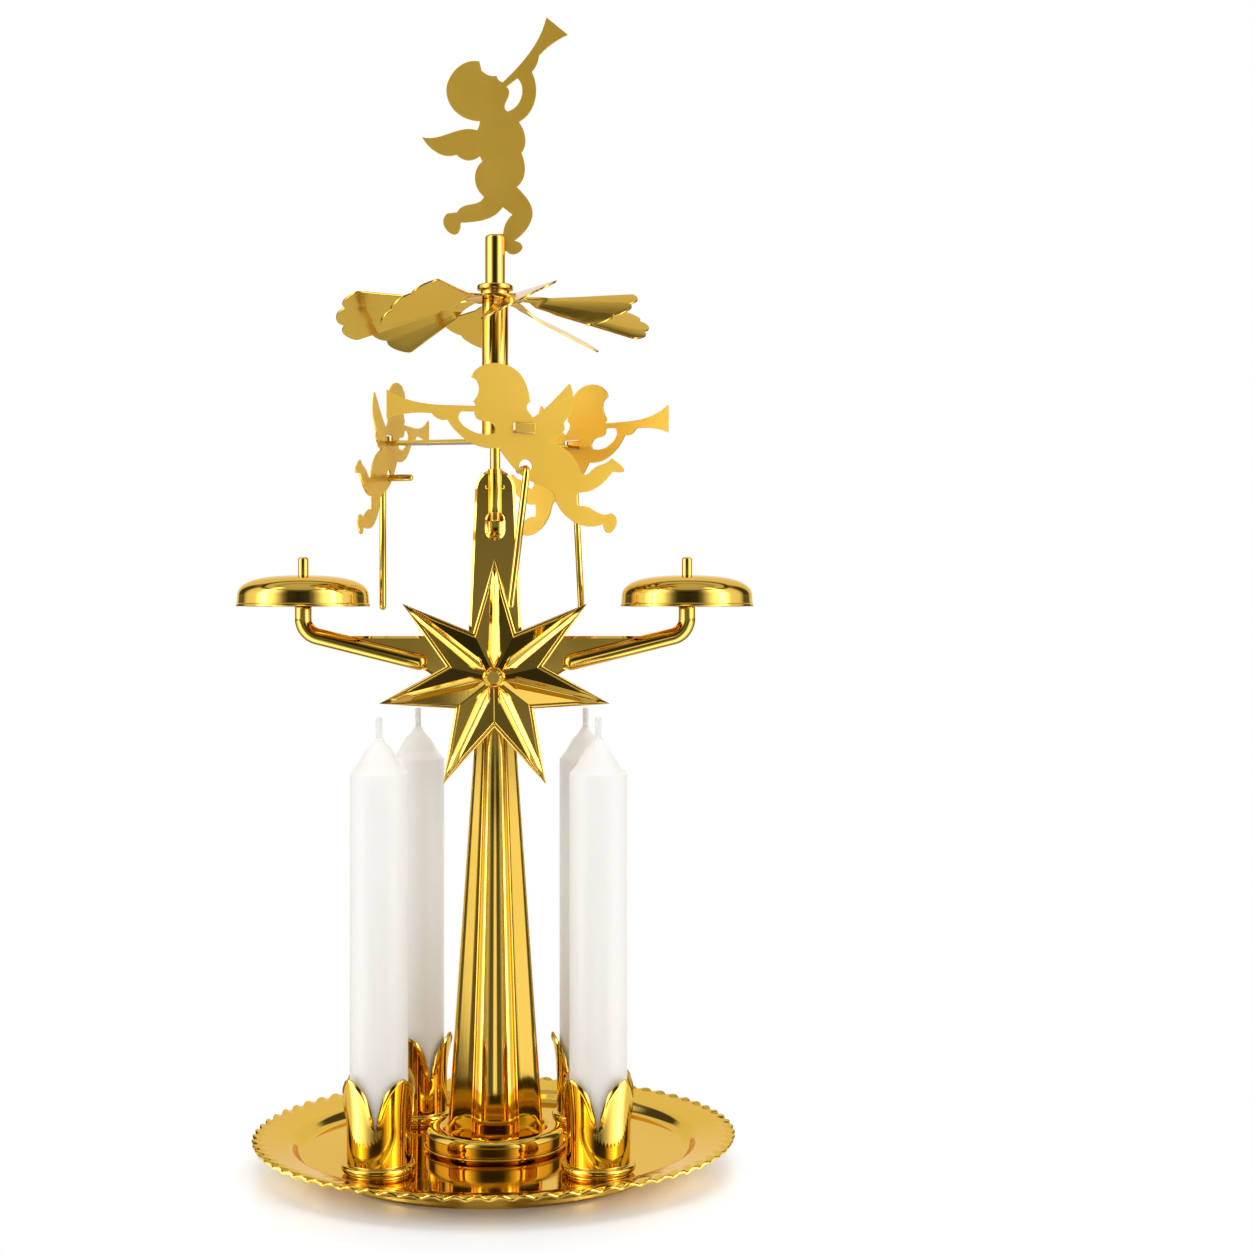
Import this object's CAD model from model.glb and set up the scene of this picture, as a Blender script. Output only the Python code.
import math

import bmesh
import bpy
from mathutils import Matrix, Vector


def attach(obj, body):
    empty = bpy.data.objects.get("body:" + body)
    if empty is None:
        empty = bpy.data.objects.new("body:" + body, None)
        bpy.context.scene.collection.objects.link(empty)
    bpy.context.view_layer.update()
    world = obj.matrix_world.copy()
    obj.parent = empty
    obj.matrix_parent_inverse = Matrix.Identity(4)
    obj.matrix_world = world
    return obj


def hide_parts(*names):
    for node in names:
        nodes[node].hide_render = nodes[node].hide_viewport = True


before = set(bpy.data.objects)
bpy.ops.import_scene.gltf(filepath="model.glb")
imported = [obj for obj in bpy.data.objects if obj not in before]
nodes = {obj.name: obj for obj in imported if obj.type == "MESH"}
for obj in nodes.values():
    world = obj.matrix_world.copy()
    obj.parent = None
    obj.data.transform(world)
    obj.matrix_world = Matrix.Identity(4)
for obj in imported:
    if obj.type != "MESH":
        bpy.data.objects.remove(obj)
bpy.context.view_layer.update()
scene = bpy.context.scene
scene.view_settings.view_transform = "Standard"
mm = 0.001
weld = {"mesh": 0.002 * mm, "sliver": 0.001 * mm, "copies": 0.003 * mm}  # points nearer than this become one
corners = ("front_left", "front_right", "back_left", "back_right")
print("frame loaded:", len(nodes), "nodes")


# helpers for node trees: a socket given as an input is linked, anything else is set as its value
def feed(tree, node, inputs):
    for key, value in inputs.items():
        if isinstance(value, bpy.types.NodeSocket):
            tree.links.new(value, node.inputs[key])
        else:
            node.inputs[key].default_value = value


def addNode(tree, kind, inputs=None, **settings):
    node = tree.nodes.new(kind)
    row, column = divmod(len(tree.nodes), 8)
    node.location = (240 * column - 2000, -320 * row)  # set out in rows of eight
    for key, value in settings.items():
        setattr(node, key, value)
    feed(tree, node, inputs or {})
    return node


def addMath(tree, operation, first, second):
    return addNode(tree, "ShaderNodeMath", {0: first, 1: second}, operation=operation).outputs[0]


def addMix(tree, factor, first, last, kind="FLOAT"):
    inputs = {"Factor": factor, "A": first, "B": last}
    return addNode(tree, "ShaderNodeMix", inputs, data_type=kind).outputs["Result"]


def addRange(tree, value, source, target=(0.0, 1.0), kind="SMOOTHSTEP"):
    ends = ("From Min", "From Max", "To Min", "To Max")
    inputs = {"Value": value, **dict(zip(ends, (*source, *target)))}
    return addNode(tree, "ShaderNodeMapRange", inputs, interpolation_type=kind).outputs["Result"]


def addNoise(tree, spot, scale, detail, distortion=0.0):
    inputs = {"Vector": spot, "Scale": scale, "Detail": detail, "Distortion": distortion}
    return addNode(tree, "ShaderNodeTexNoise", inputs).outputs["Fac"]


def addBump(tree, look, height):
    inputs = {"Strength": look["bump"], "Distance": look["depth"], "Height": height}
    return addNode(tree, "ShaderNodeBump", inputs).outputs["Normal"]


def newGroup(name, kind, inputs, outputs):
    tree = bpy.data.node_groups.new(name, kind)
    for direction, sockets in (("INPUT", inputs), ("OUTPUT", outputs)):
        for socket, form in sockets.items():
            tree.interface.new_socket(socket, in_out=direction, socket_type="NodeSocket" + form)
    return tree, addNode(tree, "NodeGroupInput").outputs


def newMaterial(name):
    material = bpy.data.materials.new(name)
    material.use_nodes = True
    return material, material.node_tree, material.node_tree.nodes["Principled BSDF"]


# surface shared by all the metals: tone drift, finger smudges and fine polishing lines
def makeMetalGroup():
    tree, given = newGroup("metalSurface", "ShaderNodeTree", {
        "Deep tone": "Color", "Pale tone": "Color", "Drift scale": "Float", "Smudge scale": "Float",
        "Low roughness": "Float", "High roughness": "Float", "Line scale": "Float",
    }, {"Colour": "Color", "Roughness": "Float", "Height": "Float"})
    spot = addNode(tree, "ShaderNodeTexCoord").outputs["Object"]
    drift = addNoise(tree, spot, given["Drift scale"], detail=3.0)
    smudge = addNoise(tree, spot, given["Smudge scale"], detail=5.0, distortion=0.6)
    stretch = addNode(tree, "ShaderNodeMapping", {"Vector": spot, "Scale": (1.0, 1.0, 0.06)})
    polish = (given["Low roughness"], given["High roughness"])
    addNode(tree, "NodeGroupOutput", {
        "Colour": addMix(tree, drift, given["Deep tone"], given["Pale tone"], kind="RGBA"),
        "Roughness": addRange(tree, smudge, (0.42, 0.72), polish),
        "Height": addNoise(tree, stretch.outputs["Vector"], given["Line scale"], detail=2.0),
    })
    return tree


metalSurface = makeMetalGroup()


def metalMaterial(name, look):
    material, tree, shader = newMaterial(name)
    surface = addNode(tree, "ShaderNodeGroup", node_tree=metalSurface, inputs=look["surface"]).outputs
    feed(tree, shader, {
        "Base Color": surface["Colour"], "Roughness": surface["Roughness"],
        "Normal": addBump(tree, look, surface["Height"]), "Metallic": look["metal"],
        "Specular IOR Level": look["gloss"], "Specular Tint": look["edge"],
    })
    return material


brassLook = {
    "surface": {
        "Deep tone": (0.66, 0.41, 0.058, 1), "Pale tone": (0.79, 0.525, 0.105, 1), "Drift scale": 22.0,
        "Smudge scale": 90.0, "Low roughness": 0.055, "High roughness": 0.11, "Line scale": 2500.0,
    },
    "metal": 1.0, "gloss": 0.5, "edge": (0.97, 0.80, 0.50, 1), "bump": 0.04, "depth": 0.05 * mm,
}
bellLook = {
    **brassLook, "bump": 0.03,
    "surface": {**brassLook["surface"], "Low roughness": 0.07, "High roughness": 0.09},
}
vaneLook = {
    **brassLook, "bump": 0.03,
    "surface": {
        "Deep tone": (0.53, 0.33, 0.045, 1), "Pale tone": (0.64, 0.42, 0.08, 1), "Drift scale": 40.0,
        "Smudge scale": 80.0, "Low roughness": 0.10, "High roughness": 0.15, "Line scale": 4000.0,
    },
}
sheetLook = {
    **brassLook, "metal": 0.6, "gloss": 0.25, "edge": (0.95, 0.74, 0.40, 1), "bump": 0.03,
    "surface": {
        "Deep tone": (0.64, 0.375, 0.033, 1), "Pale tone": (0.90, 0.59, 0.10, 1), "Drift scale": 24.0,
        "Smudge scale": 60.0, "Low roughness": 0.29, "High roughness": 0.33, "Line scale": 5000.0,
    },
}
steelLook = {
    **brassLook, "edge": (0.9, 0.9, 0.9, 1), "bump": 0.1,
    "surface": {
        "Deep tone": (0.42, 0.41, 0.40, 1), "Pale tone": (0.56, 0.55, 0.54, 1), "Drift scale": 300.0,
        "Smudge scale": 700.0, "Low roughness": 0.18, "High roughness": 0.32, "Line scale": 6000.0,
    },
}
polishedBrass = metalMaterial("polished_brass", brassLook)
satinBrass = metalMaterial("satin_brass", sheetLook)
vaneBrass = metalMaterial("vane_brass", vaneLook)
bellBrass = metalMaterial("bell_brass", bellLook)
bearingSteel = metalMaterial("bearing_steel", steelLook)


# wax: faint drawn streaks along the candle and soft clouding
waxLook = {
    "low": (0.76, 0.745, 0.71, 1), "high": (0.82, 0.81, 0.785, 1), "scale": 60.0, "streak": 0.15,
    "polish": (0.36, 0.52), "gloss": 0.45, "bump": 0.12, "depth": 0.4 * mm,
    "glow": 0.35, "glowReach": (0.004, 0.0034, 0.0028),
}


def waxMaterial(look):
    material, tree, shader = newMaterial("candle_wax")
    spot = addNode(tree, "ShaderNodeTexCoord").outputs["Object"]
    stretch = addNode(tree, "ShaderNodeMapping", {"Vector": spot, "Scale": (1.0, 1.0, look["streak"])})
    cloud = addNoise(tree, stretch.outputs["Vector"], look["scale"], detail=4.0)
    feed(tree, shader, {
        "Base Color": addMix(tree, cloud, look["low"], look["high"], kind="RGBA"),
        "Roughness": addRange(tree, cloud, (0.0, 1.0), look["polish"], kind="LINEAR"),
        "Normal": addBump(tree, look, cloud), "Specular IOR Level": look["gloss"],
        "Subsurface Weight": look["glow"], "Subsurface Radius": look["glowReach"], "Subsurface Scale": 1.0,
    })
    return material


# cotton wick: fine twisted strands
wickLook = {
    "low": (0.72, 0.705, 0.67, 1), "high": (0.80, 0.79, 0.76, 1), "strands": 2600.0, "waver": 1.2,
    "bump": 0.2, "depth": 0.1 * mm, "roughness": 0.85,
}


def wickMaterial(look):
    material, tree, shader = newMaterial("wick_cotton")
    spot = addNode(tree, "ShaderNodeTexCoord").outputs["Object"]
    strands = addNode(tree, "ShaderNodeTexWave", wave_type="BANDS", bands_direction="DIAGONAL", inputs={
        "Vector": spot, "Scale": look["strands"], "Distortion": look["waver"],
    }).outputs["Fac"]
    feed(tree, shader, {
        "Base Color": addMix(tree, strands, look["low"], look["high"], kind="RGBA"),
        "Roughness": look["roughness"], "Normal": addBump(tree, look, strands),
    })
    return material


candleWax = waxMaterial(waxLook)
wickCotton = wickMaterial(wickLook)
print("materials ready")

# finish of each node by the start of its name, the first that fits; the rest is polished brass
finishes = {
    "candle_holder": polishedBrass, "candle": candleWax, "wick": wickCotton, "angel_carrier": polishedBrass,
    "angel": satinBrass, "top_angel": satinBrass, "fan_collar": polishedBrass, "fan": vaneBrass,
    "pivot_cup": bearingSteel, "": polishedBrass,
}
for name, node in nodes.items():
    node.data.materials.clear()
    node.data.materials.append(next(finishes[start] for start in finishes if name.startswith(start)))


# small sums: even shares from 0 to 1, a value between two others, and so on
def shares(steps):
    return [step / steps for step in range(steps + 1)]


def blend(first, last, share):
    return first + (last - first) * share


def clamp(share):
    return min(max(share, 0.0), 1.0)


def ease(share):
    return share * share * (3 - 2 * share)


# points along part of an ellipse, first and last counted in quarter turns
def arc(x, y, across, up, first, last, steps):
    turns = [math.pi / 2 * blend(first, last, share) for share in shares(steps)]
    return [Vector((x + across * math.cos(turn), y + up * math.sin(turn))) for turn in turns]


def mirrored(points):
    return [Vector((-x, y)) for x, y in reversed(points[:-1])]


# helpers for meshes: shapes are drawn in millimetres and stored in metres
def linkMesh(name, verts, faces):
    mesh = bpy.data.meshes.new(name)
    mesh.from_pydata([Vector(v) * mm for v in verts], [], faces)
    piece = bpy.data.objects.new(name, mesh)
    scene.collection.objects.link(piece)
    return piece


# quads over rows of points: wrap joins each row's end to its start, ring joins the last row to the first
def gridFaces(rows, columns, wrap=False, ring=False, caps=False):
    faces = []
    for row in range(rows if ring else rows - 1):
        here = row * columns
        there = (row + 1) % rows * columns
        for column in range(columns if wrap else columns - 1):
            beside = (column + 1) % columns
            faces.append((here + column, here + beside, there + beside, there + column))
    if caps:
        faces.append(tuple(range(columns)))
        faces.append(tuple(range((rows - 1) * columns, rows * columns)))
    return faces


def openMesh(*pieces):
    work = bmesh.new()
    for piece in pieces:
        work.from_mesh(piece.data)
    return work


def closeMesh(work, piece):
    work.to_mesh(piece.data)
    work.free()
    return piece


def smoothShade(piece, sharp):
    piece.data.shade_smooth()
    piece.data.set_sharp_from_angle(angle=math.radians(sharp))
    return piece


def cleanMesh(piece, sharp=40.0, slivers=False):
    work = openMesh(piece)
    bmesh.ops.remove_doubles(work, verts=work.verts, dist=weld["mesh"])
    if slivers:
        bmesh.ops.dissolve_degenerate(work, edges=work.edges, dist=weld["sliver"])
    bmesh.ops.recalc_face_normals(work, faces=work.faces)
    return smoothShade(closeMesh(work, piece), sharp)


def bakeModifiers(piece):
    depsgraph = bpy.context.evaluated_depsgraph_get()
    shape = bpy.data.meshes.new_from_object(piece.evaluated_get(depsgraph))
    piece.modifiers.clear()
    piece.data = shape
    return piece


def addWall(piece, wall, offset):
    skin = piece.modifiers.new("wall", "SOLIDIFY")
    skin.thickness = wall * mm
    skin.offset = offset
    skin.use_even_offset = True
    return bakeModifiers(piece)


def softenEdges(piece, width, angle=40.0, steps=3):
    bevel = piece.modifiers.new("soft edges", "BEVEL")
    bevel.width = width * mm
    bevel.segments = steps
    bevel.limit_method = "ANGLE"
    bevel.angle_limit = math.radians(angle)
    bevel.use_clamp_overlap = True
    bakeModifiers(piece)
    smoothShade(piece, sharp=50.0)
    even = piece.modifiers.new("flat faces", "WEIGHTED_NORMAL")
    even.keep_sharp = True
    return bakeModifiers(piece)


def joinInto(piece, *others):
    closeMesh(openMesh(piece, *others), piece)
    for other in others:
        bpy.data.objects.remove(other)


def movePiece(piece, place, turn=0.0, axis="Z"):
    spin = Matrix.Rotation(math.radians(turn), 4, axis)
    piece.data.transform(Matrix.Translation(Vector(place) * mm) @ spin)
    return piece


# finish, body, replaced node and slot of a piece that is ready
def settle(piece, body, replaced, finish):
    piece.data.materials.clear()
    piece.data.materials.append(finish)
    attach(piece, body)
    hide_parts(replaced)


# each corner (across, up, rounding) becomes an arc that touches the lines on both sides of it
def roundPath(points, steps=8, closed=False):
    size = 2 if len(points[0]) < 4 else 3
    longest = 0.498  # of a side that a rounding may take
    path = []
    for index, point in enumerate(points):
        here = Vector(point[:size])
        rounding = point[size] if len(point) > size else 0.0
        isEnd = not closed and index in (0, len(points) - 1)
        if rounding == 0.0 or isEnd:
            path.append(here)
            continue
        before = Vector(points[index - 1][:size]) - here
        after = Vector(points[(index + 1) % len(points)][:size]) - here
        half = before.angle(after) / 2
        setback = min(rounding / math.tan(half), longest * before.length, longest * after.length)
        inward = before.normalized()
        onward = after.normalized()
        centre = here + (inward + onward).normalized() * setback / math.cos(half)
        first = here + inward * setback - centre
        last = here + onward * setback - centre
        turn = first.angle(last)
        for share in shares(steps):
            spoke = first * math.sin((1 - share) * turn) + last * math.sin(share * turn)
            path.append(centre + spoke / math.sin(turn))
    return path


def lathe(name, outline, sides=144, closed=False, sharp=40.0, steps=8):
    path = roundPath(outline, steps, closed)
    verts = []
    for share in shares(sides)[:-1]:
        angle = 2 * math.pi * share
        verts += [(radius * math.cos(angle), radius * math.sin(angle), height) for radius, height in path]
    piece = linkMesh(name, verts, gridFaces(sides, len(path), wrap=closed, ring=True))
    return cleanMesh(piece, sharp, slivers=True)


# round wire along a path, with domed ends
def tube(name, path, radius, sides=28, domeSteps=5):
    smallest = 0.001  # ring at the very tip of a dome
    first = (path[1] - path[0]).normalized()
    last = (path[-1] - path[-2]).normalized()
    rings = []
    for share in shares(domeSteps)[:-1]:
        lift = math.pi / 2 * share
        rings.append((path[0] - first * radius * math.cos(lift), first, radius * math.sin(lift)))
    for index, point in enumerate(path):
        ahead = path[min(index + 1, len(path) - 1)] - path[max(index - 1, 0)]
        rings.append((point, ahead.normalized(), radius))
    for share in shares(domeSteps)[1:]:
        lift = math.pi / 2 * (1 - share)
        rings.append((path[-1] + last * radius * math.cos(lift), last, radius * math.sin(lift)))
    side = first.orthogonal().normalized()
    verts = []
    for centre, heading, reach in rings:
        size = max(reach, smallest)
        side = (side - heading * side.dot(heading)).normalized()
        across = heading.cross(side)
        for share in shares(sides)[:-1]:
            angle = 2 * math.pi * share
            verts.append(centre + side * size * math.cos(angle) + across * size * math.sin(angle))
    return cleanMesh(linkMesh(name, verts, gridFaces(len(rings), sides, wrap=True, caps=True)), sharp=60.0)


def softBlock(name, low, high, edge):
    ring = ((low[0], low[1]), (high[0], low[1]), (high[0], high[1]), (low[0], high[1]))
    verts = [(x, y, height) for height in (low[2], high[2]) for x, y in ring]
    return softenEdges(cleanMesh(linkMesh(name, verts, gridFaces(2, 4, wrap=True, caps=True))), edge)


# copies of a sector set around the Z axis and joined into one mesh
def makeAroundAxis():
    tree, given = newGroup("aroundAxis", "GeometryNodeTree", {
        "Geometry": "Geometry", "Count": "Int", "First angle": "Float", "Merge distance": "Float",
        "Finish": "Material",
    }, {"Geometry": "Geometry"})
    points = addNode(tree, "GeometryNodePoints", {"Count": given["Count"]})
    index = addNode(tree, "GeometryNodeInputIndex")
    share = addMath(tree, "DIVIDE", index.outputs[0], given["Count"])
    turn = addNode(tree, "ShaderNodeMath", operation="MULTIPLY_ADD", inputs={
        0: share, 1: 2 * math.pi, 2: given["First angle"],
    })
    axis = addNode(tree, "ShaderNodeCombineXYZ", {"Z": turn.outputs[0]})
    place = addNode(tree, "GeometryNodeInstanceOnPoints", {
        "Points": points.outputs[0], "Instance": given["Geometry"], "Rotation": axis.outputs[0],
    })
    real = addNode(tree, "GeometryNodeRealizeInstances", {0: place.outputs[0]})
    merge = addNode(tree, "GeometryNodeMergeByDistance", {
        "Geometry": real.outputs[0], "Distance": given["Merge distance"],
    })
    paint = addNode(tree, "GeometryNodeSetMaterial", {
        "Geometry": merge.outputs[0], "Material": given["Finish"],
    })
    addNode(tree, "NodeGroupOutput", {0: paint.outputs[0]})
    return tree


aroundAxis = makeAroundAxis()


def spinCopies(piece, count, firstAngle, finish):
    spin = piece.modifiers.new("around axis", "NODES")
    spin.node_group = aroundAxis
    values = {"Count": count, "First angle": firstAngle, "Merge distance": weld["copies"], "Finish": finish}
    for item in aroundAxis.interface.items_tree:
        if item.in_out == "INPUT" and item.name in values:
            spin[item.identifier] = values[item.name]
    return bakeModifiers(piece)


# rounded-edge copy of a flat sheet node
def softSheet(nodeName, pieceName, width):
    piece = bpy.data.objects.new(pieceName, nodes[nodeName].data.copy())
    scene.collection.objects.link(piece)
    work = openMesh(piece)
    bmesh.ops.remove_doubles(work, verts=work.verts, dist=weld["sliver"])
    bmesh.ops.dissolve_limit(work, angle_limit=math.radians(1.0), verts=work.verts, edges=work.edges)
    return softenEdges(closeMesh(work, piece), width)


# pressed tray: flat floor, curved wall, broad rim and a ring of small crimps along the edge
trayShape = {
    "radius": 60.0, "sheet": 0.8, "floor": 3.6, "floorRadius": 48.2, "floorRound": 2.4, "wallRadius": 50.3,
    "wallTop": 6.1, "wallRound": 3.0, "rimTop": 7.9, "rimRings": 12, "lipReach": 0.25, "lipDepth": 0.4,
    "lipSteps": 6, "crimps": 72, "crimpDepth": 0.75, "crimpLength": 3.6, "crimpPower": 1.6, "crimpBite": 0.45,
    "slant": 1.1, "columns": 12,
}


def makeTray(shape):
    floor, rimTop, crimps = shape["floor"], shape["rimTop"], shape["crimps"]
    edge = shape["radius"] - shape["lipReach"]
    crimpStart = shape["radius"] - shape["crimpLength"]
    top = roundPath([
        (0.0, floor), (shape["floorRadius"], floor, shape["floorRound"]),
        (shape["wallRadius"], shape["wallTop"], shape["wallRound"]), (edge, rimTop),
    ], steps=10)
    upper = [point for point in top[:-1] if point.x < crimpStart]
    slope = (rimTop - shape["wallTop"]) / (edge - shape["wallRadius"])
    for share in shares(shape["rimRings"]):
        radius = blend(crimpStart, edge, share)
        upper.append(Vector((radius, rimTop - slope * (edge - radius))))
    depth = shape["lipDepth"]
    lip = arc(edge, rimTop - depth, shape["lipReach"], depth, 1, -1, shape["lipSteps"])
    path = upper + lip[1:-1] + [Vector((point.x, point.y - shape["sheet"])) for point in reversed(upper)]
    verts = []
    for share in shares(shape["columns"]):
        angle = 2 * math.pi / crimps * share
        for radius, height in path:
            fade = ease(clamp((radius - crimpStart) / shape["crimpLength"]))
            wave = 0.5 - 0.5 * math.cos(crimps * angle + shape["slant"] * (radius - edge))
            drop = shape["crimpDepth"] * fade * wave ** shape["crimpPower"]
            reach = radius - shape["crimpBite"] * fade ** 4 * wave
            verts.append((reach * math.cos(angle), reach * math.sin(angle), height - drop))
    tray = linkMesh("tray", verts, gridFaces(shape["columns"] + 1, len(path)))
    spinCopies(tray, crimps, 0.0, polishedBrass)
    cleanMesh(tray, sharp=60.0, slivers=True)
    settle(tray, "stand", "base_plate", polishedBrass)


# boss under the stem: wide rolled rim around a shallow dish, its outline as (across, up, rounding)
bossShape = {
    "outline": (
        (0.0, 5.4), (12.1, 5.4, 0.9), (12.7, 8.1, 0.6), (13.4, 9.0, 1.3), (17.15, 9.0, 2.2),
        (17.15, 5.05, 0.5), (16.65, 4.8, 0.15), (17.75, 4.65, 0.3), (17.75, 4.3, 0.25), (16.8, 3.85, 0.4),
        (16.6, 3.6), (0.0, 3.6),
    ),
}


def makeBoss(shape):
    boss = lathe("boss", shape["outline"], steps=10)
    settle(boss, "stand", "stem_base", polishedBrass)


# candle cups: four flared petals with rolled edges on a beaded foot
cupShape = {
    "petals": 4, "inner": 7.02, "wall": 0.6, "low": 4.9, "notch": 15.5, "tip": 26.9, "flareStart": 13.5,
    "flare": 1.45, "slit": 0.22, "taper": 2.9, "taperPower": 1.25, "point": 3.2, "pointPower": 6,
    "leastAngle": 0.03, "curl": 0.45, "curlShare": 0.3, "curlRise": 3.0, "edge": 0.16,
    "lowRows": 10, "petalRows": 44, "columns": 36,
    "foot": (
        (0.0, 4.8), (7.02, 4.8, 0.3), (7.02, 6.6), (7.62, 6.6), (7.62, 6.1, 0.5), (8.6, 6.1, 0.8),
        (9.0, 5.2, 1.0), (8.7, 4.25, 0.6), (7.82, 4.1, 0.3), (8.12, 3.6, 0.2), (0.0, 3.6),
    ),
    "places": {  # across, back, turn
        "front_left": (-26.17, -23.98, 0.0), "front_right": (26.17, -23.98, 0.0),
        "back_left": (-22.1, 27.78, 30.0), "back_right": (22.1, 27.78, -30.0),
    },
}


def makePetal(shape):
    notch, tip, columns, curlShare = shape["notch"], shape["tip"], shape["columns"], shape["curlShare"]
    bow = ((tip - shape["flareStart"]) ** 2 + shape["flare"] ** 2) / (2 * shape["flare"])
    heights = [blend(shape["low"], notch, share) for share in shares(shape["lowRows"])[:-1]]
    heights += [blend(notch, tip, share) for share in shares(shape["petalRows"])]
    verts = []
    for height in heights:
        radius = shape["inner"] + shape["wall"] / 2
        if height > shape["flareStart"]:
            radius += bow - math.sqrt(bow ** 2 - (height - shape["flareStart"]) ** 2)
        cut = 0.0
        if height >= notch:
            reach = (height - notch) / (tip - notch)
            cut = shape["slit"] + shape["taper"] * reach ** shape["taperPower"]
            cut += shape["point"] * reach ** shape["pointPower"]
        half = max(math.pi / shape["petals"] - math.asin(cut / radius), shape["leastAngle"])
        grown = clamp((height - notch) / shape["curlRise"])
        for share in shares(columns):
            place = 2 * share - 1
            nearEdge = max(abs(place) - 1 + curlShare, 0.0) / curlShare
            curled = radius + shape["curl"] * grown * nearEdge ** 2
            verts.append((curled * math.cos(half * place), curled * math.sin(half * place), height))
    return linkMesh("petals", verts, gridFaces(len(heights), columns + 1))


def makeCup(shape, corner):
    x, y, turn = shape["places"][corner]
    cup = makePetal(shape)
    spinCopies(cup, shape["petals"], math.pi / shape["petals"], polishedBrass)
    cleanMesh(cup, sharp=60.0)
    addWall(cup, shape["wall"], offset=0.0)
    softenEdges(cup, shape["edge"], angle=50.0)
    joinInto(cup, lathe("cup_foot", shape["foot"], sides=120))
    cup.name = "cup_" + corner
    movePiece(cup, (x, y, 0), turn)
    settle(cup, "stand", "candle_holder_" + corner, polishedBrass)


# candles: straight body, chamfered shoulder and a drawn-in tip
candleShape = {
    "outline": (
        (0.0, 5.6), (6.9, 5.6, 0.5), (6.9, 98.8, 0.9), (5.2, 100.8, 2.0), (3.3, 104.2, 5.0),
        (1.6, 106.0, 1.8), (0.95, 107.2, 0.5), (0.0, 107.2),
    ),
}


def makeCandle(shape, corner):
    x, y = cupShape["places"][corner][:2]
    candle = lathe("candle_body_" + corner, shape["outline"], sides=96, sharp=60.0, steps=7)
    movePiece(candle, (x, y, 0))
    settle(candle, "candle_" + corner, "candle_" + corner, candleWax)


# wicks: waxed cotton with a shallow twist and a rounded top
wickShape = {
    "radius": 0.8, "foot": 101.5, "top": 112.2, "strands": 3, "twist": 1.6, "groove": 0.03, "dome": 0.5,
    "drawIn": 0.28, "sides": 36, "rows": 40,
}


def makeWick(shape, corner):
    x, y = cupShape["places"][corner][:2]
    rows, sides, groove, drawIn = shape["rows"], shape["sides"], shape["groove"], shape["drawIn"]
    verts = []
    for share in shares(rows):
        height = blend(shape["foot"], shape["top"], share)
        spin = shape["twist"] * (height - shape["foot"])
        near = min((shape["top"] - height) / shape["dome"], 1.0)
        size = shape["radius"] * (1 - drawIn + drawIn * math.sqrt(max(near * (2 - near), 0.0)))
        for around in shares(sides)[:-1]:
            angle = 2 * math.pi * around
            radius = size * (1 - groove + groove * math.cos(shape["strands"] * (angle - spin)))
            verts.append((x + radius * math.cos(angle), y + radius * math.sin(angle), height))
    wick = linkMesh("wick_cord_" + corner, verts, gridFaces(rows + 1, sides, wrap=True, caps=True))
    cleanMesh(wick, sharp=50.0)
    settle(wick, "candle_" + corner, "wick_" + corner, wickCotton)


makeTray(trayShape)
makeBoss(bossShape)
for corner in corners:
    makeCup(cupShape, corner)
    makeCandle(candleShape, corner)
    makeWick(wickShape, corner)
print("tray, cups and candles ready")


# stem: tapered sheet with a rounded ridge pressed out of its front, a tongue on top and tabs at the foot
stemShape = {
    "foot": 5.4, "ridgeTop": 113.0, "front": 0.4, "sheet": 0.8, "footWidth": 24.2, "neckWidth": 9.2,
    "ridgeFoot": 11.4, "ridgeNeck": 4.2, "depthFoot": 4.6, "depthNeck": 2.0, "fillet": 0.55,
    "filletDrop": 0.9, "backStep": 0.2, "rows": 30,
    "edge": ((0.0, 0.3), (0.08, 0.1), (0.3, 0.0)),  # rounding of the long edges: inwards, back
    "blocks": {  # low corner, high corner, rounding
        "tongue": ((-4.6, 0.4, 112.5), (4.6, 1.2, 127.0), 0.12),
        "left_tab": ((-10.7, 0.4, 2.2), (-7.7, 1.2, 5.7), 0.1),
        "right_tab": ((7.7, 0.4, 2.2), (10.7, 1.2, 5.7), 0.1),
    },
}


def stemOutline(shape, share):
    edge = blend(shape["footWidth"], shape["neckWidth"], share) / 2
    ridge = blend(shape["ridgeFoot"], shape["ridgeNeck"], share) / 2
    depth = blend(shape["depthFoot"], shape["depthNeck"], share)
    front, fillet = shape["front"], shape["fillet"]
    back = front + shape["sheet"]
    half = [(edge - inwards, front + behind) for inwards, behind in shape["edge"]]
    flat = half[-1][0]
    half += [(blend(flat, ridge + fillet, step), front) for step in shares(4)[1:]]
    half += arc(ridge + fillet, front - fillet, fillet, fillet, 1, 2, steps=4)[1:-1]
    drop = fillet * shape["filletDrop"]
    half += arc(0.0, front - drop, ridge, drop - depth, 0, 1, steps=16)
    inside = arc(0.0, back, shape["sheet"] - ridge, shape["backStep"] - depth, 0, 2, steps=12)
    return half + mirrored(half) + [(-edge, back)] + inside + [(edge, back)]


def makeStem(shape):
    rows = shape["rows"]
    verts = []
    for share in shares(rows):
        height = blend(shape["foot"], shape["ridgeTop"], share)
        verts += [(x, y, height) for x, y in stemOutline(shape, share)]
    count = len(verts) // (rows + 1)
    stem = cleanMesh(linkMesh("stem_sheet", verts, gridFaces(rows + 1, count, wrap=True, caps=True)))
    joinInto(stem, *(softBlock(name, *block) for name, block in shape["blocks"].items()))
    settle(stem, "stand", "stem", polishedBrass)


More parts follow.
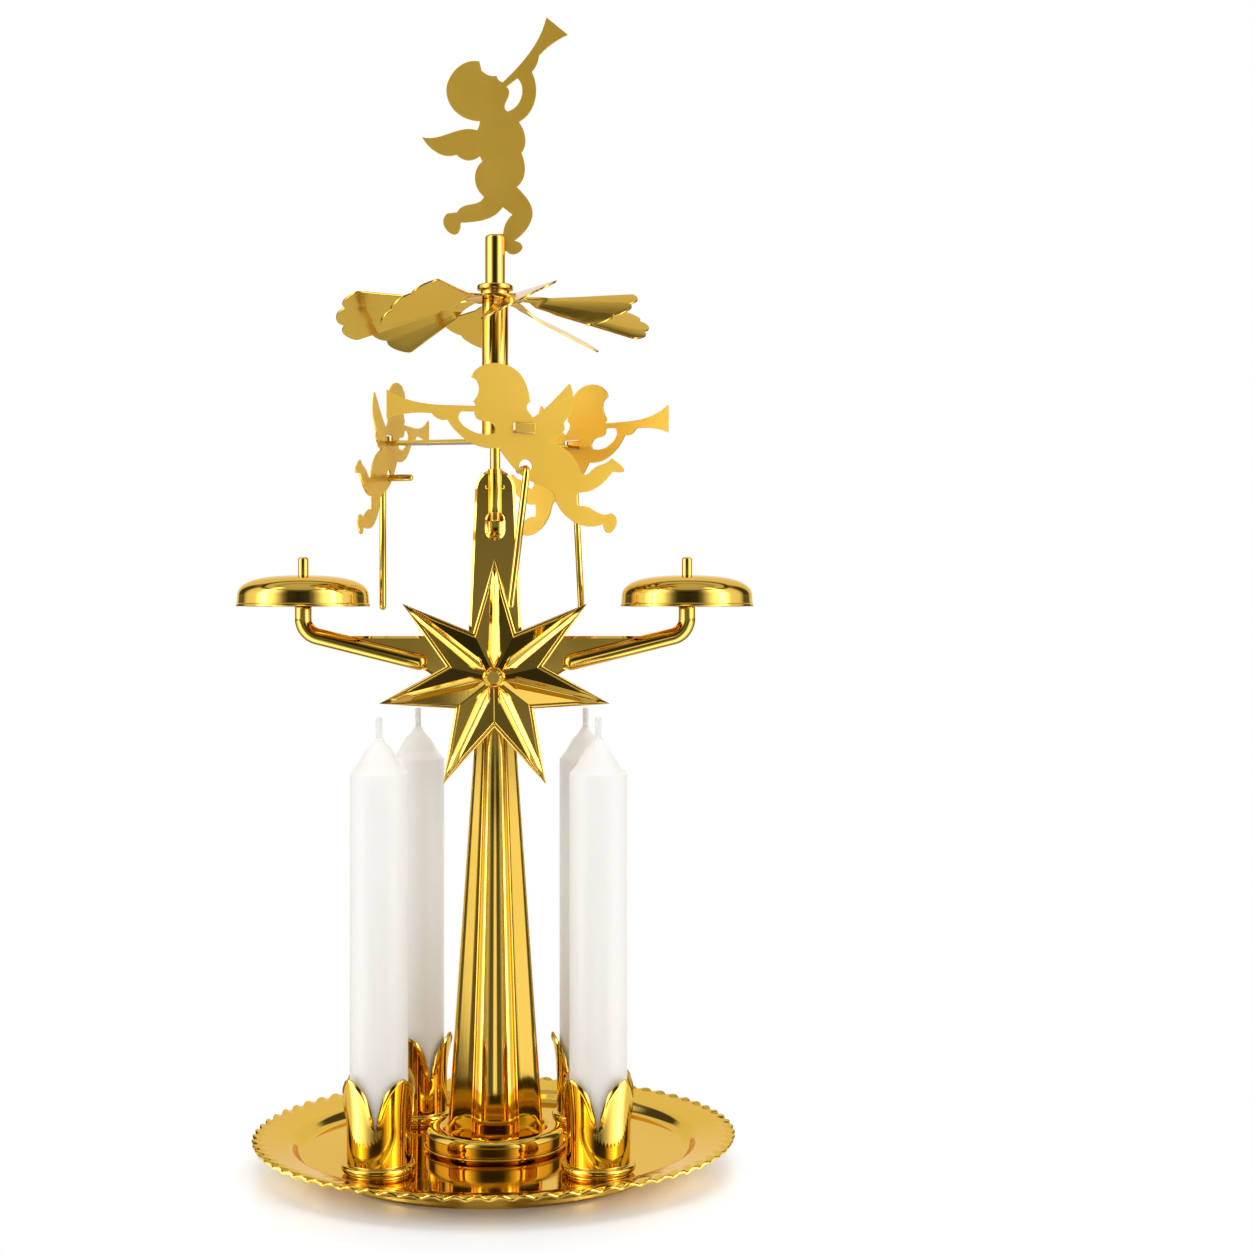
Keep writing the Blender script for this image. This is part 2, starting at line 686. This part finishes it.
# bell arms: flat sheet with a window, round beads that turn up into the bell posts, and the needle's sleeve
armShape = {
    "sheet": 0.8, "rim": 0.6, "rimDrop": 0.35,
    "half": (  # right half of the sheet, from the crown down to the middle of its foot
        (5.0, 168.0), (6.65, 131.3, 1.0), (38.0, 131.3, 0.3), (40.6, 130.7, 0.3), (38.0, 129.3),
        (19.0, 123.6, 3.0), (6.65, 116.0, 1.0), (0.0, 116.0),
    ),
    "windowFoot": 155.8, "windowHalf": 1.9,
    "bead": 2.1, "beadStart": (19.0, 124.8), "slope": 0.25, "post": 48.0, "bend": 4.6, "beadTop": 144.5,
    "pin": ((0.0, 143.1), (2.1, 143.1), (2.1, 145.5, 0.25), (1.3, 145.5), (1.3, 151.0, 0.7), (0.0, 151.0)),
    "sleeveRadius": 1.75, "sleeveFoot": 162.0,
    "sleeve": ((1.34, 162.0), (1.75, 162.0, 0.12), (1.75, 173.0, 0.12), (1.34, 173.0)),
    "ear": ((-2.4, -0.8, 167.95), (2.4, 0.8, 169.05)), "earEdge": 0.3,
}
pocketShape = {
    "wall": 0.4, "rise": 2.6, "side": 0.15, "footLap": 0.2, "topLap": 0.6, "backLap": 0.1, "fullness": 0.6,
    "rows": 14, "columns": 20,
}


def fillSheet(name, loops, low, high, rim, rimDrop):
    work = bmesh.new()
    edges = []
    for loop in loops:
        ring = [work.verts.new((p.x * mm, low * mm, p.y * mm)) for p in loop]
        for index, vert in enumerate(ring):
            edges.append(work.edges.new((vert, ring[(index + 1) % len(ring)])))
    filled = bmesh.ops.triangle_fill(work, use_beauty=True, edges=edges)
    faces = [item for item in filled["geom"] if isinstance(item, bmesh.types.BMFace)]
    raised = bmesh.ops.extrude_face_region(work, geom=faces)
    lifted = [item for item in raised["geom"] if isinstance(item, bmesh.types.BMVert)]
    bmesh.ops.translate(work, verts=lifted, vec=(0, (high - low) * mm, 0))
    bmesh.ops.recalc_face_normals(work, faces=work.faces)
    front = [face for face in work.faces if face.calc_center_median().y < (low + rimDrop / 4) * mm]
    band = bmesh.ops.inset_region(
        work, faces=front, thickness=rim * mm, use_even_offset=True, use_boundary=True,
    )
    outer = {vert for face in band["faces"] for vert in face.verts}
    inner = {vert for face in front for vert in face.verts}
    bmesh.ops.translate(work, verts=list(outer - inner), vec=(0, rimDrop * mm, 0))
    return closeMesh(work, linkMesh(name, [], []))


# pressed pocket behind the window, deepening upwards into the needle's sleeve
def makePocket(arms, shape):
    rows, columns = shape["rows"], shape["columns"]
    half = arms["windowHalf"] + shape["side"]
    foot = arms["windowFoot"] - shape["footLap"]
    top = arms["sleeveFoot"] + shape["topLap"]
    back = arms["sheet"] / 2
    verts = []
    for share in shares(rows):
        height = blend(foot, top, share)
        rise = min((height - foot) / shape["rise"], 1.0)
        depth = back - shape["backLap"] + (arms["sleeveRadius"] - back) * math.sin(rise * math.pi / 2)
        for around in shares(columns):
            turn = math.pi * around
            verts.append((half * math.cos(turn), depth * math.sin(turn) ** shape["fullness"], height))
    pocket = cleanMesh(linkMesh("needle_pocket", verts, gridFaces(rows + 1, columns + 1)))
    return addWall(pocket, shape["wall"], offset=1.0)


def makeArms(shape, pocket):
    right = roundPath(shape["half"], steps=5)
    topHalf, crown = shape["half"][0]
    outline = arc(0.0, crown, topHalf, topHalf, 2, 0, steps=24)[1:-1] + right + mirrored(right)
    windowHalf = shape["windowHalf"]
    window = arc(0.0, shape["sleeveFoot"] - windowHalf, windowHalf, windowHalf, 0, 2, steps=12)
    window += arc(0.0, shape["windowFoot"] + windowHalf, windowHalf, windowHalf, 2, 4, steps=12)
    front = -shape["sheet"] / 2
    arms = fillSheet("bell_arm_sheet", [outline, window], front, -front, shape["rim"], shape["rimDrop"])
    smoothShade(arms, sharp=30.0)
    extras = [makePocket(shape, pocket)]
    startX, startZ = shape["beadStart"]
    bendZ = startZ + shape["slope"] * (shape["post"] - startX)
    for hand in (-1, 1):
        post = hand * shape["post"]
        route = roundPath([
            (hand * startX, 0.0, startZ, 0.0), (post, 0.0, bendZ, shape["bend"]),
            (post, 0.0, shape["beadTop"], 0.0),
        ], steps=14)
        longRun = [route[0].lerp(route[1], share) for share in shares(8)[:-1]]
        extras.append(tube("arm_bead", longRun + route[1:], shape["bead"], sides=40))
        extras.append(movePiece(lathe("bell_pin", shape["pin"], sides=48), (post, 0, 0)))
    extras.append(lathe("needle_sleeve", shape["sleeve"], sides=64, closed=True))
    extras.append(softBlock("sleeve_ear", *shape["ear"], shape["earEdge"]))
    joinInto(arms, *extras)
    settle(arms, "stand", "bell_arms", polishedBrass)


# star: seven pressed rays, each with a rounded rib along its ridge and a raised lip around its edge
starShape = {
    "centre": 121.0, "back": -2.6, "points": 7, "tip": 29.5, "tipShare": 0.994, "notch": 12.4, "rise": 1.6,
    "sheet": 0.7, "rib": 1.4, "ribEnd": 0.85, "ribSlope": 0.62, "ribShare": 0.6, "ribRound": 0.14,
    "ribStart": 0.085, "ribFadeIn": 0.02, "ribStop": 0.88, "ribFadeOut": 0.03, "groove": 0.12,
    "lip": 0.7, "lipShare": 0.34, "lipHeight": 0.38, "lipTurn": 0.86, "lipSpan": 1.905,
    "underSide": 0.55, "underEdge": 0.94, "rows": 60, "ribSteps": 10, "faceSteps": 6, "lipSteps": 8,
    "hub": ((1.34, -0.2), (1.34, 2.9), (2.35, 2.9, 0.2), (2.75, 2.1, 0.2), (2.75, -0.2)),
}


# half of one ray: rib like a rounded roof, flat face and a rolled lip, measured square to the rib
def starHalfRay(shape, hand):
    sheet, ribRound = shape["sheet"], shape["ribRound"]
    tip = Vector((shape["tip"], 0.0))
    angle = hand * math.pi / shape["points"]
    notch = Vector((shape["notch"] * math.cos(angle), shape["notch"] * math.sin(angle)))
    square = math.sin(math.pi / shape["points"])
    verts = []
    for outwards in shares(shape["rows"]):
        along = outwards * shape["tipShare"]
        rib = tip * along
        edge = notch.lerp(tip, along)
        span = (edge - rib).length * square
        ribHalf = min(blend(shape["rib"], shape["ribEnd"], along), shape["ribShare"] * span)
        lip = min(shape["lip"], shape["lipShare"] * span)
        fadeIn = clamp((along - shape["ribStart"]) / shape["ribFadeIn"])
        fadeOut = clamp((shape["ribStop"] - along) / shape["ribFadeOut"])
        crest = ribHalf * shape["ribSlope"] * math.sqrt(min(fadeIn, fadeOut))
        groove = shape["groove"] * ribHalf / shape["rib"]
        places = []
        for share in shares(shape["ribSteps"]):
            roof = 1 - math.sqrt(share ** 2 + ribRound ** 2) + ribRound
            places.append((ribHalf * share, crest * max(roof, 0.0)))
        faceStart = ribHalf + groove
        faceEnd = max(span - lip, faceStart + groove)
        places += [(blend(faceStart, faceEnd, share), 0.0) for share in shares(shape["faceSteps"])]
        lipHeight = shape["lipHeight"] * lip / shape["lip"]
        for share in shares(shape["lipSteps"])[1:]:
            turn = shape["lipTurn"] * math.pi * share
            away = blend(faceEnd, span, (1 - math.cos(turn)) / shape["lipSpan"])
            places.append((away, lipHeight * math.sin(turn)))
        places += [(span, -shape["underSide"] * sheet), (shape["underEdge"] * span, -sheet), (0.0, -sheet)]
        for away, up in places:
            share = min(away / span, 1.0)
            point = rib.lerp(edge, share)
            verts.append((point.x, point.y, shape["rise"] * (1 - along) * (1 - share) + up))
    return verts


def makeStar(shape):
    left, right = starHalfRay(shape, 1), starHalfRay(shape, -1)
    rows = shape["rows"] + 1
    count = len(left) // rows
    faces = gridFaces(rows, count) + [tuple(range(len(left) - count, len(left)))]
    faces += [tuple(index + len(left) for index in reversed(face)) for face in faces]
    star = linkMesh("star_plate", left + right, faces)
    spinCopies(star, shape["points"], math.pi / 2, polishedBrass)
    cleanMesh(star, sharp=34.0, slivers=True)
    joinInto(star, lathe("star_hub", shape["hub"], sides=64, closed=True))
    movePiece(star, (0, shape["back"], shape["centre"]), turn=90.0, axis="X")
    settle(star, "stand", "star", polishedBrass)


# bells: low pressed domes with a lip at the mouth, that turn on their pins
bellShape = {
    "radius": 16.65, "foot": 138.7, "top": 146.5, "wall": 0.7, "hole": 1.38, "place": 48.0, "skirt": 2.5,
    "lean": 0.32, "outward": 2.8, "upward": 2.3, "steps": 44, "skirtSteps": 6, "lip": 0.8, "lipStep": 0.2,
    "lipHigh": 0.9, "lipLow": 0.7, "lipRound": 0.2, "edge": 0.14,
}


def makeBell(shape, hand, name):
    radius, foot, lip = shape["radius"], shape["foot"], shape["lip"]
    dome = radius - shape["lean"]
    spring = foot + shape["skirt"]
    first = math.acos((shape["hole"] / dome) ** (shape["outward"] / 2))
    path = []
    for share in shares(shape["steps"]):
        turn = first * (1 - share)
        across = dome * math.cos(turn) ** (2 / shape["outward"])
        path.append(Vector((across, blend(spring, shape["top"], math.sin(turn) ** (2 / shape["upward"])))))
    waist = radius - shape["lipStep"]
    for share in shares(shape["skirtSteps"])[1:]:
        path.append(Vector((blend(dome, waist, share), blend(spring, foot + lip, share))))
    path += roundPath([
        (waist, foot + lip * shape["lipHigh"]), (radius, foot + lip * shape["lipLow"], shape["lipRound"]),
        (radius, foot),
    ], steps=4)
    bell = lathe(name + "_dome", path, sides=160, sharp=60.0)
    addWall(bell, shape["wall"], offset=-1.0)
    softenEdges(bell, shape["edge"], angle=55.0, steps=2)
    movePiece(bell, (hand * shape["place"], 0, 0))
    settle(bell, name, name, bellBrass)


# needle, tube and collar on the spinning axis, their outlines as (across, up, rounding)
axisShape = {
    "needle_rod": {
        "node": "needle", "body": "stand", "sides": 48, "closed": False,
        "outline": ((0.0, 160.0), (1.3, 160.0, 0.3), (1.3, 204.0, 0.5), (0.0, 208.0)),
    },
    "spin_tube": {
        "node": "hub_tube", "body": "carousel", "sides": 80, "closed": True,
        "outline": (
            (2.52, 179.2), (4.3, 179.2, 0.15), (4.3, 179.6, 0.15), (3.3, 179.6), (3.3, 215.4, 0.3),
            (2.52, 215.4, 0.1),
        ),
    },
    "collar_ring": {
        "node": "fan_collar", "body": "carousel", "sides": 80, "closed": True,
        "outline": (
            (2.52, 215.9), (3.65, 215.9, 0.1), (3.65, 217.6, 0.5), (4.55, 217.8, 0.35), (4.55, 219.1, 0.5),
            (2.52, 219.1, 0.1),
        ),
    },
}


def makeAxis(shape):
    for name, facts in shape.items():
        piece = lathe(name, facts["outline"], facts["sides"], facts["closed"])
        settle(piece, facts["body"], facts["node"], polishedBrass)


# fan: eight pitched vanes with three-lobed ends around a flat hub
fanShape = {
    "height": 215.4, "sheet": 0.5, "thin": 0.9, "edge": 0.13, "vanes": 8, "first": 13.0, "root": 5.5,
    "reach": 40.0, "side": 34.5, "endWidth": 10.0,
    "widths": ((5.5, 1.6), (11.0, 1.9), (22.1, 5.6), (34.5, 10.0)),  # along the vane, half width
    "pitch": 28.0, "droop": 9.0, "twistStart": 6.5, "twistLength": 8.0, "camber": 0.35,
    "lobe": 3.6, "lobeNotch": 2.6, "lobeRound": 0.98, "notchShare": 0.92, "sideLift": 0.4, "sidePower": 1.6,
    "bulge": 1.5, "bulgePower": 0.7, "rows": 30, "columns": 28,
    "hub": ((2.55, 215.4), (8.0, 215.4, 0.15), (8.0, 215.9, 0.15), (2.55, 215.9)),
}


def vaneEnd(shape, across):
    away = abs(across)
    lobe = shape["lobe"]
    if away <= lobe:
        share = away / lobe
        return shape["reach"] - shape["lobeNotch"] * (1 - math.sqrt(1 - share ** 2 * shape["lobeRound"]))
    share = (away - lobe) / (shape["endWidth"] - lobe)
    bulge = math.sin(math.pi * min(share, 1.0)) ** shape["bulgePower"] * shape["bulge"]
    low = shape["reach"] - shape["lobeNotch"] * shape["notchShare"]
    return blend(low, shape["side"] + shape["sideLift"], share ** shape["sidePower"]) + bulge


def vaneHalf(shape, along):
    for (low, first), (high, last) in zip(shape["widths"], shape["widths"][1:]):
        if along <= high:
            return blend(first, last, (along - low) / (high - low))


def makeFan(shape):
    rows, columns = shape["rows"], shape["columns"]
    middle = Vector((0, 0, shape["height"] + shape["sheet"] / 2))
    verts = []
    for outwards in shares(rows):
        for share in shares(columns):
            lean = 2 * share - 1
            along = blend(shape["root"], vaneEnd(shape, lean * shape["endWidth"]), outwards)
            across = lean * vaneHalf(shape, min(along, shape["side"]))
            twist = clamp((along - shape["twistStart"]) / shape["twistLength"])
            point = Vector((along, across, shape["camber"] * (1 - lean * lean) * outwards))
            point.rotate(Matrix.Rotation(math.radians(shape["pitch"]) * ease(twist), 3, "X"))
            point.rotate(Matrix.Rotation(math.radians(shape["droop"]) * twist, 3, "Y"))
            verts.append(point + middle)
    fan = cleanMesh(linkMesh("fan_vanes", verts, gridFaces(rows + 1, columns + 1)), sharp=60.0)
    addWall(fan, shape["sheet"] * shape["thin"], offset=0.0)
    softenEdges(fan, shape["edge"], angle=50.0)
    spinCopies(fan, shape["vanes"], math.radians(shape["first"]), vaneBrass)
    joinInto(fan, lathe("fan_hub", shape["hub"], sides=96, closed=True))
    settle(fan, "carousel", "fan", vaneBrass)


# strikers: round wire hooked through each flying figure
strikerShape = {
    "places": {"front": (-72.0, 7.0), "left": (168.0, 0.0), "back": (48.0, 4.0)},  # angle, lean
    "ring": 27.9, "forward": -0.3, "height": 171.2, "offset": 1.45, "leg": 8.0, "drop": 33.4, "wire": 0.85,
    "bend": 1.4,
}


def makeStriker(shape, name):
    angle, lean = (math.radians(value) for value in shape["places"][name])
    outward = Vector((math.cos(angle), math.sin(angle), 0))
    heading = Vector((math.sin(angle), -math.cos(angle), 0))
    hook = outward * shape["ring"] + heading * shape["forward"] + Vector((0, 0, shape["height"]))
    down = Vector((0, 0, -math.cos(lean))) + heading * math.sin(lean)
    bend = hook + outward * shape["offset"]
    foot = bend + down * (shape["drop"] - shape["wire"])
    inner = hook - outward * (shape["leg"] - shape["offset"] - shape["wire"])
    route = roundPath([(*foot, 0.0), (*bend, shape["bend"]), (*inner, 0.0)], steps=10)
    wire = tube("striker_wire_" + name, route, shape["wire"])
    settle(wire, "striker_" + name, "striker_" + name, polishedBrass)


makeStem(stemShape)
makeArms(armShape, pocketShape)
makeStar(starShape)
for hand, name in ((-1, "bell_left"), (1, "bell_right")):
    makeBell(bellShape, hand, name)
makeAxis(axisShape)
makeFan(fanShape)

# flat sheets of the carousel: the figures and their carrier
sheetEdges = {"figure": 0.2, "carrier": 0.16}
for name in strikerShape["places"]:
    makeStriker(strikerShape, name)
    angel = softSheet("angel_" + name, "flying_angel_" + name, sheetEdges["figure"])
    settle(angel, "carousel", "angel_" + name, satinBrass)
topAngel = softSheet("top_angel", "standing_angel", sheetEdges["figure"])
settle(topAngel, "carousel", "top_angel", satinBrass)
carrier = softSheet("angel_carrier", "carrier_plate", sheetEdges["carrier"])
settle(carrier, "carousel", "angel_carrier", polishedBrass)
print("stem, star, bells and carousel ready")


# floor, light and camera: a white tent whose softboxes, dark gaps and ceiling show in the metal
tentLook = {
    "walls": (  # degrees to either side of the viewer, brightness
        (0, 0.004), (18, 0.008), (26, 0.04), (36, 0.16), (46, 0.33), (55, 0.45), (59, 1.0), (69, 1.0),
        (73, 0.45), (82, 0.20), (104, 0.17), (112, 0.10), (118, 0.012), (138, 0.012), (144, 0.145),
        (180, 0.155),
    ),
    "ground": (  # the same for the floor where the metal mirrors it
        (0, 0.21), (6, 0.21), (9, 0.024), (24, 0.020), (38, 0.14), (48, 0.30), (56, 0.40), (60, 0.85),
        (69, 0.85), (73, 0.40), (82, 0.168), (104, 0.16), (116, 0.024), (138, 0.024), (146, 0.136),
        (180, 0.144),
    ),
    "upward": (  # height of the direction, share of the walls
        (0.0, 1.0), (0.70, 1.0), (0.74, 0.10), (0.77, 0.10), (0.80, 0.60), (0.90, 0.40), (0.95, 0.05),
        (1.0, 0.0),
    ),
    "dim": (  # height of the direction, least brightness
        (0.0, 0.26), (0.05, 0.20), (0.12, 0.01), (0.48, 0.01), (0.60, 0.08), (0.72, 0.25), (0.76, 0.04),
        (0.79, 0.04), (0.81, 0.80), (0.87, 0.80), (0.91, 0.45), (0.97, 0.70),
    ),
    "brightest": 6.5, "fill": 0.55,
}
stageLook = {
    "floor": (0.93, 0.93, 0.925, 1), "gloss": 0.25, "size": 6000.0,
    "fade": (0.03, 0.105), "dim": (0.8, 2.6), "dimLevel": (1.0, 0.3),  # first two in metres from the middle
}


# turn about the upright axis as a share of a full circle, 0.5 straight towards the viewer
def makeTurnGroup():
    sockets = {"Direction": "Vector"}, {"Turn": "Float", "Height": "Float"}
    tree, given = newGroup("turnAround", "ShaderNodeTree", *sockets)
    split = addNode(tree, "ShaderNodeSeparateXYZ", {0: given["Direction"]}).outputs
    angle = addMath(tree, "ARCTAN2", split["X"], addMath(tree, "MULTIPLY", split["Y"], -1.0))
    turn = addRange(tree, angle, (-math.pi, math.pi), kind="LINEAR")
    addNode(tree, "NodeGroupOutput", {"Turn": turn, "Height": split["Z"]})
    return tree


turnAround = makeTurnGroup()


def addTurn(tree, direction):
    return addNode(tree, "ShaderNodeGroup", node_tree=turnAround, inputs={"Direction": direction}).outputs


def addRamp(tree, value, stops):
    ramp = addNode(tree, "ShaderNodeValToRGB", {"Fac": value})
    elements = ramp.color_ramp.elements
    elements.remove(elements[1])
    elements[0].position = stops[0][0]
    for index, (place, grey) in enumerate(stops):
        element = elements.new(place) if index else elements[0]
        element.color = (grey, grey, grey, 1.0)
    return ramp.outputs["Color"]


# ring of the tent: the stops run the same way to both sides of the viewer
def tentRing(tree, turn, stops, brightest):
    left = [(0.5 - angle / 360, value) for angle, value in reversed(stops)]
    right = [(0.5 + angle / 360, value) for angle, value in stops[1:]]
    return addMath(tree, "MULTIPLY", addRamp(tree, turn, left + right), brightest)


def seenDirectly(tree, path):
    first = addMath(tree, "MAXIMUM", path["Is Camera Ray"], path["Is Glossy Ray"])
    return addMath(tree, "MAXIMUM", first, path["Is Transmission Ray"])


def makeFloor(look, tent):
    size = look["size"]
    square = [(-size, -size, 0), (size, -size, 0), (size, size, 0), (-size, size, 0)]
    floor = linkMesh("floor", square, [(0, 1, 2, 3)])
    material, tree, shader = newMaterial("floor_white")
    feed(tree, shader, {"Base Color": look["floor"], "Roughness": look["gloss"]})
    spot = addNode(tree, "ShaderNodeTexCoord").outputs["Object"]
    reach = addNode(tree, "ShaderNodeVectorMath", {0: spot}, operation="LENGTH").outputs["Value"]
    path = addNode(tree, "ShaderNodeLightPath").outputs
    share = addMath(tree, "MULTIPLY", addRange(tree, reach, look["fade"]), seenDirectly(tree, path))
    bright = tentRing(tree, addTurn(tree, spot)["Turn"], tent["ground"], tent["brightest"])
    ground = addMath(tree, "MULTIPLY", bright, addRange(tree, reach, look["dim"], look["dimLevel"]))
    level = addMix(tree, path["Is Glossy Ray"], 1.0, ground)
    white = addNode(tree, "ShaderNodeEmission", {"Strength": level})
    mixed = addNode(tree, "ShaderNodeMixShader", {
        "Fac": share, 1: shader.outputs["BSDF"], 2: white.outputs["Emission"],
    })
    feed(tree, tree.nodes["Material Output"], {"Surface": mixed.outputs["Shader"]})
    floor.data.materials.append(material)


def makeWorld(tent):
    world = bpy.data.worlds.new("tent")
    scene.world = world
    world.use_nodes = True
    tree = world.node_tree
    around = addTurn(tree, addNode(tree, "ShaderNodeTexCoord").outputs["Generated"])
    bright = tentRing(tree, around["Turn"], tent["walls"], tent["brightest"])
    boxes = addMath(tree, "MULTIPLY", bright, addRamp(tree, around["Height"], tent["upward"]))
    walls = addMath(tree, "MAXIMUM", boxes, addRamp(tree, around["Height"], tent["dim"]))
    path = addNode(tree, "ShaderNodeLightPath").outputs
    plain = addMix(tree, seenDirectly(tree, path), tent["fill"], 1.0)
    strength = addMix(tree, path["Is Glossy Ray"], plain, walls)
    feed(tree, tree.nodes["Background"], {"Color": (1, 1, 1, 1), "Strength": strength})


lampLook = {
    "left": {"at": (-0.75, -0.55, 0.65), "size": 0.6, "power": 4.5},
    "right": {"at": (0.85, -0.45, 0.55), "size": 0.6, "power": 4.0},
    "top": {"at": (0.0, 0.1, 0.95), "size": 0.7, "power": 4.5},
    "back": {"at": (0.25, 0.9, 0.5), "size": 0.6, "power": 3.5},
}
lampAim = (0, 0, 0.14)


# the lamps light the wax and the floor; the metal sees the tent instead of their square edges
def makeLamps(look):
    for name, facts in look.items():
        lamp = bpy.data.lights.new("lamp_" + name, "AREA")
        lamp.size = facts["size"]
        lamp.energy = facts["power"]
        holder = bpy.data.objects.new("lamp_" + name, lamp)
        holder.location = facts["at"]
        towards = Vector(lampAim) - Vector(facts["at"])
        holder.rotation_euler = towards.to_track_quat("-Z", "Y").to_euler()
        holder.visible_glossy = False
        scene.collection.objects.link(holder)


cameraLook = {"at": (0.033, -0.514, 0.1353), "lens": 58.97, "sensor": 36.0, "shift": -0.0056, "near": 0.01}


def makeCamera(look):
    data = bpy.data.cameras.new("camera")
    data.lens = look["lens"]
    data.sensor_width = look["sensor"]
    data.shift_y = look["shift"]
    data.clip_start = look["near"]
    camera = bpy.data.objects.new("camera", data)
    camera.location = look["at"]
    camera.rotation_euler = (math.radians(90), 0, 0)
    scene.collection.objects.link(camera)
    scene.camera = camera


makeFloor(stageLook, tentLook)
makeWorld(tentLook)
makeLamps(lampLook)
makeCamera(cameraLook)
print("stage ready")
